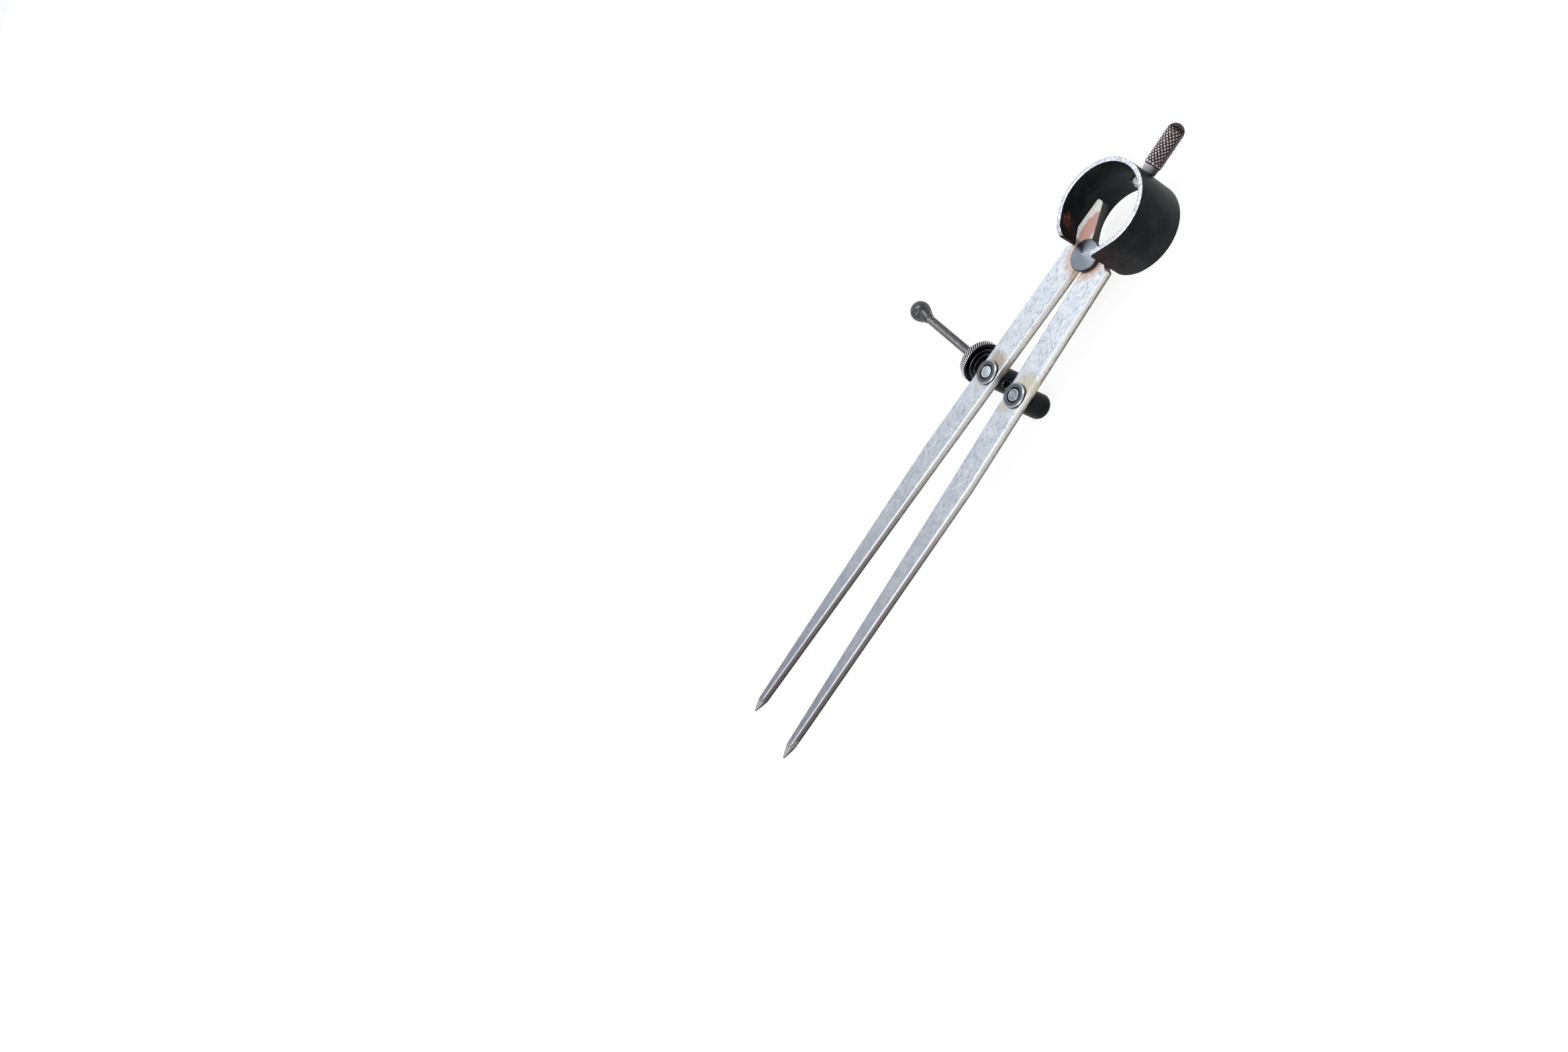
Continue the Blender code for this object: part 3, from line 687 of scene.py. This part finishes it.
def leg_outline():
    """The right leg's outline in its own axes, anticlockwise; -Y is towards the point."""
    straighten = Matrix.Rotation(-OPEN, 2)
    outer = INNER_EDGE + LEG_WIDTH
    wall_radius = BOW_RADIUS - BOW_THICKNESS - BOW_FIT
    notch_end = BOW_STRAIGHT + CLEARANCE
    wall_low = straighten @ bow_point(wall_radius, BOW_ARC_END, notch_end)
    wall_high = straighten @ bow_point(wall_radius, BOW_ARC_END)
    kink = wall_low.lerp(wall_high, (FINGER_TIP_OUTER - wall_low.x) / (wall_high.x - wall_low.x))
    notch_floor = straighten @ bow_point(BOW_RADIUS + CLEARANCE, BOW_ARC_END, notch_end)
    fulcrum_notch = 2.2
    low = -math.degrees(math.acos(INNER_EDGE / fulcrum_notch))
    finger_inner = FINGER_TOP * math.tan(math.radians(FINGER_ANGLE))
    crown = FINGER_TOP + FINGER_TIP_ROUND
    upper = [
        *arc((0, 0), fulcrum_notch, low, 90 - FINGER_ANGLE, 16),
        (finger_inner, FINGER_TOP),
        (finger_inner + FINGER_TIP_ROUND, crown),
        (FINGER_TIP_OUTER - FINGER_TIP_ROUND, crown),
        (FINGER_TIP_OUTER, FINGER_TOP),
        kink,
        wall_low,
        notch_floor,
        (outer - 0.4, -0.4),
        (outer, -0.8),
    ]
    middle = INNER_EDGE + TIP_WIDTH / 2
    stations = [TAPER_START, 80, 100, 120, 132, 138, 142]
    end = LEG_REACH - NEEDLE_LENGTH
    outer_side = [(outer + (INNER_EDGE + TIP_WIDTH - outer) * (s - TAPER_START)
                   / (end - TAPER_START), -s) for s in stations]
    inner_side = [(INNER_EDGE, -s) for s in stations]
    needle = [(middle + TIP_WIDTH / 2 * (1 - t) ** 0.9 + NEEDLE_END * t, -end - NEEDLE_LENGTH * t)
              for t in (0.0, 0.25, 0.5, 0.75, 0.9, 1.0)]
    other = [(2 * middle - x, y) for x, y in reversed(needle)]
    outline = [*upper, *outer_side, *needle, *other, *reversed(inner_side)]
    return fillet(outline, 0.25, closed=True)[::-1]


def leg_half_thickness(y):
    """Half the leg's thickness, which thins over the last stretch to the point."""
    point = max(0.0, (-y - LEG_REACH + NEEDLE_LENGTH) / NEEDLE_LENGTH)
    return LEG_THICKNESS / 2 * (1 - 0.88 * point ** 1.2)


def edge_rounding(y):
    """Radius of a leg's worn edge: small round the finger and the notch, and at the point."""
    along = min(1.0, max(0.0, (-y - 1.2) / 2.5))
    size = FINE_ROUNDING + (LEG_ROUNDING - FINE_ROUNDING) * along
    size *= 1 - 0.6 * min(1.0, max(0.0, (-y - 50) / 85))
    return size * min(1.0, (leg_half_thickness(y) / leg_half_thickness(0.0)) ** 1.5)


def inset(points, amounts):
    """An anticlockwise outline with each point moved inwards by its own amount."""
    moved = []
    for k, here in enumerate(points):
        before = (here - points[k - 1]).normalized()
        after = (points[(k + 1) % len(points)] - here).normalized()
        inward = Vector((-before.y - after.y, before.x + after.x)).normalized()
        stretch = 1 / max(0.5, inward.dot(Vector((-before.y, before.x))))
        moved.append(here + inward * amounts[k] * stretch)
    return moved


def leg_mesh(name, side):
    """A plate with rounded edges, a hole for the post's spigot and a ground point."""
    turn = Matrix.Rotation(side * OPEN, 2)
    outline = leg_outline()
    half = [leg_half_thickness(point.y) for point in outline]
    ease = [edge_rounding(point.y) for point in outline]
    hole_local = Matrix.Rotation(-OPEN, 2) @ Vector((POST_X, POST_Y))
    hole = arc(hole_local, SPIGOT_RADIUS + CLEARANCE, 360, 0, 40)[:-1]
    hole_ease = [0.12] * len(hole)
    shape = bmesh.new()
    caps = {-1: [], 1: []}
    for points, chamfers, thick in ((outline, ease, half),
                                    (hole, hole_ease, [half[0]] * len(hole))):
        rings = []
        for step in range(-6, 7):
            if step == 0:
                continue
            # from the rear face round its rounded edge, and back round the front one
            angle = math.radians(90) * (abs(step) - 1) / 5
            level = math.copysign(1, step)
            drop = [c * (1 - math.sin(angle)) for c in chamfers]
            pull = [c * (1 - math.cos(angle)) for c in chamfers]
            ring = []
            for point, down, t in zip(inset(points, pull), drop, thick):
                flat = turn @ Vector((side * point.x, point.y))
                ring.append(shape.verts.new((flat.x, flat.y, MID_Z + level * (t - down))))
            rings.append(ring)
        size = len(points)
        for low, high in zip(rings, rings[1:]):
            for k in range(size):
                m = (k + 1) % size
                shape.faces.new((low[k], low[m], high[m], high[k]))
        for cap, ring in ((-1, rings[0]), (1, rings[-1])):
            caps[cap] += [shape.edges.get((ring[k], ring[(k + 1) % size])) for k in range(size)]
    for edges in caps.values():
        bmesh.ops.triangle_fill(shape, use_beauty=True, use_dissolve=False, edges=edges)
    return finish_mesh(name, shape, sharp=50)


def make_legs():
    """Both legs, in the same steel."""
    steel = leg_steel()
    for label, side in (("right", 1), ("left", -1)):
        mesh = leg_mesh(label + "_leg_ground", side)
        leg = piece(label + "_leg_ground", mesh, steel, label + "_leg_body", label + "_leg",
                    slot="leg_steel")
        flat_normals(leg)


# ---------------------------------------------------------------- the bow spring
def corner_pull(radius, distance):
    """How far a rounded corner draws the bow's edge in, at a distance from the bow's end."""
    short = min(radius, max(0.0, radius - distance))
    return radius - math.sqrt(radius ** 2 - short ** 2)


def bow_half_mesh(name, side):
    """Half of the bow, from the handle's hole round to one end, with rounded edges."""
    half_width = BOW_WIDTH / 2
    outer, inner = BOW_RADIUS, BOW_RADIUS - BOW_THICKNESS
    corners = [(outer, half_width), (inner, half_width), (inner, -half_width), (outer, -half_width)]
    section = fillet(corners, BOW_EDGE_ROUND, closed=True)
    middle = (outer + inner) / 2
    rings = []
    steps = 96
    end_ease = 0.12
    stations = [(BOW_ARC_END * k / steps, 0.0) for k in range(steps + 1)]
    last = BOW_STRAIGHT - end_ease
    quarters = [math.radians(90 * k / 24) for k in range(1, 25)]
    stations += [(BOW_ARC_END, last * math.sin(quarter)) for quarter in quarters]
    stations.append((BOW_ARC_END, BOW_STRAIGHT))
    for k, (angle, straight) in enumerate(stations):
        shrink = end_ease if k == len(stations) - 1 else 0.0
        to_end = BOW_STRAIGHT - straight if angle == BOW_ARC_END else BOW_STRAIGHT
        front, rear = (corner_pull(corner, to_end) for corner in BOW_CORNERS[side])
        ring = []
        for radius, z in section:
            radius -= shrink * (1 if radius > middle else -1)
            z -= front if z > 0 else -rear
            flat = bow_point(radius, angle, straight)
            ring.append((side * flat.x, flat.y, MID_Z + z))
        rings.append(ring)
    mesh = skin(name, rings, sharp=50)
    bore = SCREW_RADIUS + CLEARANCE
    hole = turned("hole", [(bore, BOW_TOP - 4), (bore, BOW_TOP + 2)], 48, place=HANDLE_AXIS)
    return carve(mesh, hole)


def make_bow():
    """The bow in two halves, each from the handle round to one leg."""
    black, edge = bow_black(), bow_edge()
    for label, side in (("right", 1), ("left", -1)):
        mesh = bow_half_mesh(label + "_bow_half", side)
        half = piece(label + "_bow_half", mesh, black, None, "bow_spring", slot="blued_spring")
        mesh.materials.append(edge)
        for face in mesh.polygons:
            if abs(face.normal.z) > 0.35:
                face.material_index = 1
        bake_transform(half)


# ---------------------------------------------------------------- handle and its nut
def knurl(angle, height):
    """Height of a diamond knurl, 0 in its grooves and 1 on its peaks."""
    turns = angle / (2 * math.pi)
    heights = []
    for hand in (1, -1):
        phase = KNURL_STARTS * (turns + hand * height / KNURL_LEAD) % 1.0
        heights.append(1 - abs(2 * phase - 1))
    return min(heights)


def handle_profile():
    """(radius, height, knurl share) from the dome to the end of the threaded stud."""
    base = handle_high.y - HANDLE_RADIUS
    points = []
    for k in range(25):
        a = math.radians(90) * k / 24
        share = min(1.0, max(0.0, (math.degrees(a) - 38) / 26))
        points.append((HANDLE_RADIUS * math.sin(a), base + HANDLE_RADIUS * math.cos(a), share))
    knurl_end = BOW_TOP + 2.05
    rows = 110
    for k in range(1, rows + 1):
        y = base + (knurl_end - base) * k / rows
        share = min(1.0, (y - knurl_end) / 0.3 + 0.4)
        points.append((HANDLE_RADIUS, y, share))
    points += [(NECK_RADIUS + 0.1, BOW_TOP + 1.75, 0), (NECK_RADIUS - 0.02, BOW_TOP + 1.6, 0),
               (NECK_RADIUS - 0.12, BOW_TOP + 0.12, 0), (NECK_RADIUS - 0.2, BOW_TOP + 0.03, 0)]
    return points


def thread_rings(start, end, steps, place):
    """Rings of a threaded rod, eight to a pitch, with eased ends. The radius dips and rises
    once a pitch and once a turn."""
    rows = max(2, round(abs(end - start) / THREAD_PITCH * 8))
    rings = []
    for row in range(rows + 1):
        height = start + (end - start) * row / rows
        radius = SCREW_RADIUS - 0.18 * (1 - min(1.0, min(row, rows - row) / 6))

        def reach(angle):
            phase = (height / THREAD_PITCH + angle / (2 * math.pi)) % 1.0
            return radius - THREAD_DEPTH * min(1.0, 1.25 * abs(2 * phase - 1))

        rings.append(spun(reach, height, steps, place))
    return rings


def make_handle():
    """The knurled grip, its plain neck and its threaded stud."""
    steps = KNURL_STARTS * 16
    rings = []
    for radius, y, share in handle_profile():
        depth = share * KNURL_DEPTH
        rings.append(spun(lambda angle: max(0.002, radius - depth * (1 - knurl(angle, y))),
                          y, steps, HANDLE_AXIS))
    rings += thread_rings(BOW_TOP, handle_low.y, steps, HANDLE_AXIS)
    mesh = skin("knurled_handle", rings, sharp=45)
    piece("knurled_handle", mesh, knurled_steel(), "frame_body", "handle", slot="knurled_handle")


def make_handle_nut():
    """A hexagon nut with chamfered corners."""
    low, high = handle_nut_low.y, handle_nut_high.y
    apothem = HANDLE_NUT_RADIUS * math.cos(math.radians(30))
    bore = SCREW_RADIUS + 0.06
    rings = []
    for limit, y in ((bore, low), (apothem, low), (HANDLE_NUT_RADIUS, low + 0.3),
                     (HANDLE_NUT_RADIUS, high - 0.3), (apothem, high), (bore, high)):
        def reach(angle):
            off = (angle + math.radians(30)) % math.radians(60) - math.radians(30)
            return min(limit, apothem / math.cos(off)) if limit > bore else bore

        rings.append(spun(reach, y, 72, HANDLE_AXIS))
    mesh = skin("handle_hex_nut", rings, looped=True)
    material = dark_steel("hex_nut_steel", (0.6, 0.61, 0.62))
    piece("handle_hex_nut", mesh, material, "frame_body", "handle_nut", slot="dark_steel")


# ---------------------------------------------------------------- fulcrum stud
def make_fulcrum():
    """Two flanges on a waist, with a turned cone in front."""
    front = leg_high.z + SIDE_GAP
    rim = front + FLANGE
    apex = stud_high.z
    rear = stud_low.z
    profile = [
        (0.0, apex),
        (0.1, apex - 0.03),
        (0.34, apex - 0.26),
        (FULCRUM_RADIUS - 0.22, rim),
        (FULCRUM_RADIUS, rim - 0.2),
        (FULCRUM_RADIUS, front + 0.12),
        (FULCRUM_RADIUS - 0.12, front),
        (WAIST_RADIUS, front),
        (WAIST_RADIUS, rear + FLANGE),
        (FULCRUM_RADIUS - 0.12, rear + FLANGE),
        (FULCRUM_RADIUS, rear + FLANGE - 0.12),
        (FULCRUM_RADIUS, rear + 0.2),
        (FULCRUM_RADIUS - 0.2, rear),
        (0.0, rear),
    ]
    mesh = turned("fulcrum_turned_stud", fillet(profile, 0.08), steps=128)
    piece("fulcrum_turned_stud", mesh, turned_steel(), "frame_body", "fulcrum_stud",
          slot="turned_stud")


# ---------------------------------------------------------------- posts and washers
def post_front_left(front):
    """A gently domed rivet end."""
    return [(0.0, front + 0.1), (0.6, front + 0.09), (1.2, front + 0.04),
            (SPIGOT_RADIUS - 0.2, front - 0.02), (SPIGOT_RADIUS - 0.1, front - 0.16)]


def post_front_right(front):
    """A rivet end with a centre dimple and a turned groove."""
    return [(0.0, front - 0.24), (0.2, front - 0.2), (0.36, front + 0.06), (0.66, front + 0.08),
            (0.82, front - 0.26), (1.02, front - 0.26), (1.16, front + 0.05),
            (SPIGOT_RADIUS - 0.22, front + 0.04), (SPIGOT_RADIUS - 0.1, front - 0.14)]


def make_posts():
    """Both posts, bored for the screw, with their washers."""
    front = washer_high.z
    shoulder = leg_low.z - SIDE_GAP
    rear = post_low.z
    for label, side, tip, tint in (("right", 1, (0.42, 0.44, 0.48), (0.12, 0.132, 0.155)),
                                   ("left", -1, (0.5, 0.55, 0.58), (0.13, 0.128, 0.142))):
        centre = (side * POST_X, POST_Y, 0)
        place = Matrix.Translation(centre)
        profile = (post_front_right if side > 0 else post_front_left)(front) + [
            (SPIGOT_RADIUS - 0.1, shoulder),
            (POST_RADIUS - 0.2, shoulder),
            (POST_RADIUS, shoulder - 0.2),
            (POST_RADIUS, rear + 0.9),
            (POST_RADIUS - 0.25, rear + 0.3),
            (POST_RADIUS - 0.85, rear),
            (0.0, rear),
        ]
        mesh = turned(label + "_turned_post", fillet(profile, 0.12), place=place)
        reach = POST_RADIUS + 1
        bore = SCREW_RADIUS + CLEARANCE - 0.12
        across = Matrix.Translation((side * POST_X, POST_Y, SCREW_Z))
        # the right post's hole is blind and the screw ends in it
        bore_end = screw_high.x - POST_X + CLEARANCE if side > 0 else reach
        cutters = [turned("bore", [(bore, -reach), (bore, bore_end)], 48, place=across @ ALONG_X)]
        if side > 0:
            pin_bore = (pin_high.x - pin_low.x) / 2 + 0.03
            cutters.append(turned("pin_bore", [(pin_bore, -reach), (pin_bore, reach)], 32,
                                  place=across @ ALONG_Y))
        body = "screw_body" if side > 0 else "left_post_body"
        post = piece(label + "_turned_post", carve(mesh, *cutters),
                     post_black(label + "_post_black", centre, tip), body, label + "_post",
                     slot="blued_post")
        flat_normals(post)
        make_washer(label, body, centre, place, tint)


def make_washer(label, body, centre, place, tint):
    """A bevelled washer round the post's riveted end."""
    low, high = washer_low.z - 0.06, washer_high.z
    hole = SPIGOT_RADIUS + 0.2
    profile = [(hole + 0.1, high), (WASHER_RADIUS - 0.42, high), (WASHER_RADIUS - 0.06, high - 0.22),
               (WASHER_RADIUS, high - 0.32), (WASHER_RADIUS, low), (hole, low), (hole, high - 0.1)]
    mesh = turned(label + "_turned_washer", fillet(profile, 0.06, closed=True), looped=True,
                  place=place)
    material = washer_steel(label + "_washer_steel", centre, tint)
    piece(label + "_turned_washer", mesh, material, body, label + "_post_washer",
          slot="washer_steel")


# ---------------------------------------------------------------- adjusting screw, knob and nut
def make_screw():
    """The rod, threaded from its free end to the left post's inner side, then plain."""
    steps = 32
    thread_end = POST_RADIUS - POST_X
    rings = thread_rings(screw_low.x, thread_end, steps, SCREW_AXIS)
    for radius, x in ((SCREW_RADIUS - 0.2, thread_end + 0.1), (SCREW_RADIUS, thread_end + 0.3),
                      (SCREW_RADIUS, screw_high.x - 0.2), (SCREW_RADIUS - 0.2, screw_high.x)):
        rings.append(spun(lambda angle: radius, x, steps, SCREW_AXIS))
    mesh = skin("threaded_rod", rings, sharp=60)
    material = dark_steel("thread_steel", (0.07, 0.07, 0.075), (0.34, 0.34, 0.355),
                          (SCREW_RADIUS - 0.15, SCREW_RADIUS - 0.04), thread_end)
    piece("threaded_rod", mesh, material, "screw_body", "adjusting_screw", slot="dark_steel")


def make_knob():
    """A ball with turned rings at its mouth, flared to the thread."""
    centre = knob_low.x + KNOB_RADIUS
    bore = SCREW_RADIUS + 0.01
    ball = [(KNOB_RADIUS * math.sin(a), centre - KNOB_RADIUS * math.cos(a))
            for a in (math.radians(6 * k) for k in range(0, 22))]
    # two turned steps and a groove at the ball's mouth, then the flared neck
    mouth = [(2.36, 0.12), (2.34, 0.3), (2.2, 0.34), (2.18, 0.52), (1.98, 0.56), (1.96, 0.76),
             (2.12, 0.82), (2.02, 1.15), (1.78, 1.7), (1.55, 2.3), (1.38, 2.9), (1.27, 3.4)]
    start = ball[-1][1]
    flare = [(radius, start + along) for radius, along in mouth]
    profile = [*ball, *fillet(flare, 0.04), (bore, knob_high.x), (bore, centre), (0.0, centre)]
    mesh = turned("ball_knob", profile, place=SCREW_AXIS)
    material = dark_steel("knob_steel", (0.12, 0.12, 0.13))
    piece("ball_knob", mesh, material, "screw_body", "screw_knob", slot="dark_steel")


def make_nut():
    """A thin disc with a toothed rim and a stepped face, on a hub that bears on its washer."""
    face, end = nut_low.x, nut_high.x
    disc = face + NUT_DISC
    bore = SCREW_RADIUS + 0.08
    rim = [(NUT_RADIUS, face + 0.28 + (NUT_DISC - 0.56) * k / 6) for k in range(7)]
    profile = [
        (bore, face + 0.1), (bore + 0.12, face), (3.3, face), (3.5, face + 0.14),
        (NUT_RADIUS - 0.75, face + 0.14), (NUT_RADIUS - 0.6, face), (NUT_RADIUS - 0.25, face),
        *rim, (NUT_RADIUS - 0.25, disc), (NUT_RADIUS - 0.72, disc),
        (NUT_RADIUS - 0.8, disc - 0.5), (4.45, disc - 0.5), (4.36, disc + 0.42), (4.2, disc + 0.55),
        (3.92, disc + 0.58), (3.86, disc + 0.42), (3.66, disc + 0.42), (3.6, disc + 0.7),
        (3.2, disc + 0.78), (3.0, disc + 0.95), (3.0, end - 0.72), (2.9, end - 0.6),
        (1.9, end - 0.6), (1.9, end), (bore, end),
    ]

    def tooth(radius, angle):
        if radius < NUT_RADIUS - 0.3:
            return 0.0
        phase = (NUT_TEETH * angle / (2 * math.pi)) % 1.0
        depth = NUT_TOOTH_DEPTH if radius > NUT_RADIUS - 0.1 else NUT_TOOTH_DEPTH * 0.4
        return depth * min(1.0, max(0.0, 1.9 - 3.4 * abs(2 * phase - 1)))

    rings = [spun(lambda angle: radius - tooth(radius, angle), height, NUT_TEETH * 10, SCREW_AXIS,
                  math.radians(NUT_LEAN) * (height - face)) for radius, height in profile]
    mesh = skin("toothed_nut", rings, looped=True)
    piece("toothed_nut", mesh, nut_steel(), "nut_body", "adjusting_nut", slot="nut_steel")


def make_small_parts():
    """The thrust washer on the screw and the pin that holds the screw in its post."""
    bore = SCREW_RADIUS + 0.1
    radius = (thrust_high.z - thrust_low.z) / 2
    profile = [(bore, thrust_low.x), (radius, thrust_low.x), (radius, thrust_high.x),
               (bore, thrust_high.x)]
    mesh = turned("steel_thrust_washer", fillet(profile, 0.1, closed=True), looped=True,
                  place=SCREW_AXIS)
    material = dark_steel("thrust_washer_steel", (0.2, 0.2, 0.215))
    piece("steel_thrust_washer", mesh, material, "left_post_body", "thrust_washer",
          slot="washer_steel")
    pin_radius = (pin_high.x - pin_low.x) / 2
    middle = (pin_low.y + pin_high.y) / 2
    half = (pin_high.y - pin_low.y) / 2
    profile = fillet([(0.0, half), (pin_radius, half), (pin_radius, -half), (0.0, -half)], 0.12)
    place = Matrix.Translation((POST_X, middle, SCREW_Z)) @ ALONG_Y
    mesh = turned("cross_pin", profile, 48, place=place)
    material = dark_steel("pin_steel", (0.1, 0.1, 0.11))
    piece("cross_pin", mesh, material, "screw_body", "screw_pin", slot="dark_steel")


# ---------------------------------------------------------------- floor, light and camera
def make_floor(level):
    """A wide pale floor that the tool lies on."""
    mesh = bpy.data.meshes.new("floor")
    size = 40.0
    corners = [(-size, -size, level), (size, -size, level), (size, size, level), (-size, size, level)]
    mesh.from_pydata(corners, [], [(0, 1, 2, 3)])
    floor = scene_object("floor", mesh)
    s = Surface("pale_floor", (0.2, 0.2, 0.2), 0.9, 0.0)
    s.set("Base Color", s.mix(s.noise(s.place, 6.0, 3), (0.19, 0.19, 0.19), (0.21, 0.21, 0.21)))
    s.set("Specular IOR Level", 0.0)
    s.set("Emission Color", (1, 1, 1, 1))
    s.set("Emission Strength", 0.84)
    mesh.materials.append(s.material)


def make_world():
    """Soft light all round, brighter from above and dimmer low on the right."""
    world = bpy.data.worlds.new("studio")
    bpy.context.scene.world = world
    world.use_nodes = True
    tree = world.node_tree
    background = tree.nodes["Background"]
    background.inputs["Color"].default_value = (0.97, 0.985, 1.0, 1)
    direction = tree.nodes.new("ShaderNodeTexCoord")
    turn = tree.nodes.new("ShaderNodeVectorMath")
    turn.operation = "DOT_PRODUCT"
    turn.inputs[1].default_value = Vector((-0.6, -0.15, 0.6)).normalized()
    strength = tree.nodes.new("ShaderNodeMapRange")
    strength.interpolation_type = "SMOOTHSTEP"
    for name, value in (("From Min", -0.5), ("From Max", 0.75), ("To Min", 0.1), ("To Max", 0.98)):
        strength.inputs[name].default_value = value
    tree.links.new(direction.outputs["Generated"], turn.inputs[0])
    tree.links.new(turn.outputs["Value"], strength.inputs["Value"])
    tree.links.new(strength.outputs["Result"], background.inputs["Strength"])


def add_sun(name, towards, strength, spread, colour=(1, 1, 1)):
    """A soft, even light from far off in one direction."""
    light = bpy.data.lights.new(name, "SUN")
    light.energy = strength
    light.angle = math.radians(spread)
    light.color = colour
    lamp = scene_object(name, light)
    lamp.rotation_euler = Vector(towards).to_track_quat("Z", "Y").to_euler()


def make_camera():
    """The camera, above the tool and to its right."""
    camera = bpy.data.cameras.new("camera")
    camera.lens = CAMERA_LENS
    camera.sensor_width = CAMERA_SENSOR
    camera.clip_start = 0.01
    camera.clip_end = 200.0
    holder = scene_object("camera", camera)
    holder.location = CAMERA_PLACE
    holder.rotation_euler = [math.radians(angle) for angle in CAMERA_TURN]
    bpy.context.scene.camera = holder


make_legs()
make_bow()
make_handle()
make_handle_nut()
make_fulcrum()
make_posts()
make_screw()
make_knob()
make_nut()
make_small_parts()
make_floor(cad_box[0].z)
make_world()
add_sun("key", (0.62, -0.34, 0.71), 1.5, 40)
add_sun("ceiling", (-0.1, 0.45, 0.89), 0.6, 16, (0.95, 0.975, 1.0))
add_sun("window", (-0.42, 0.04, 0.905), 0.25, 12, (0.95, 0.975, 1.0))
make_camera()
bpy.context.scene.view_settings.view_transform = "Standard"

bpy.context.view_layer.update()
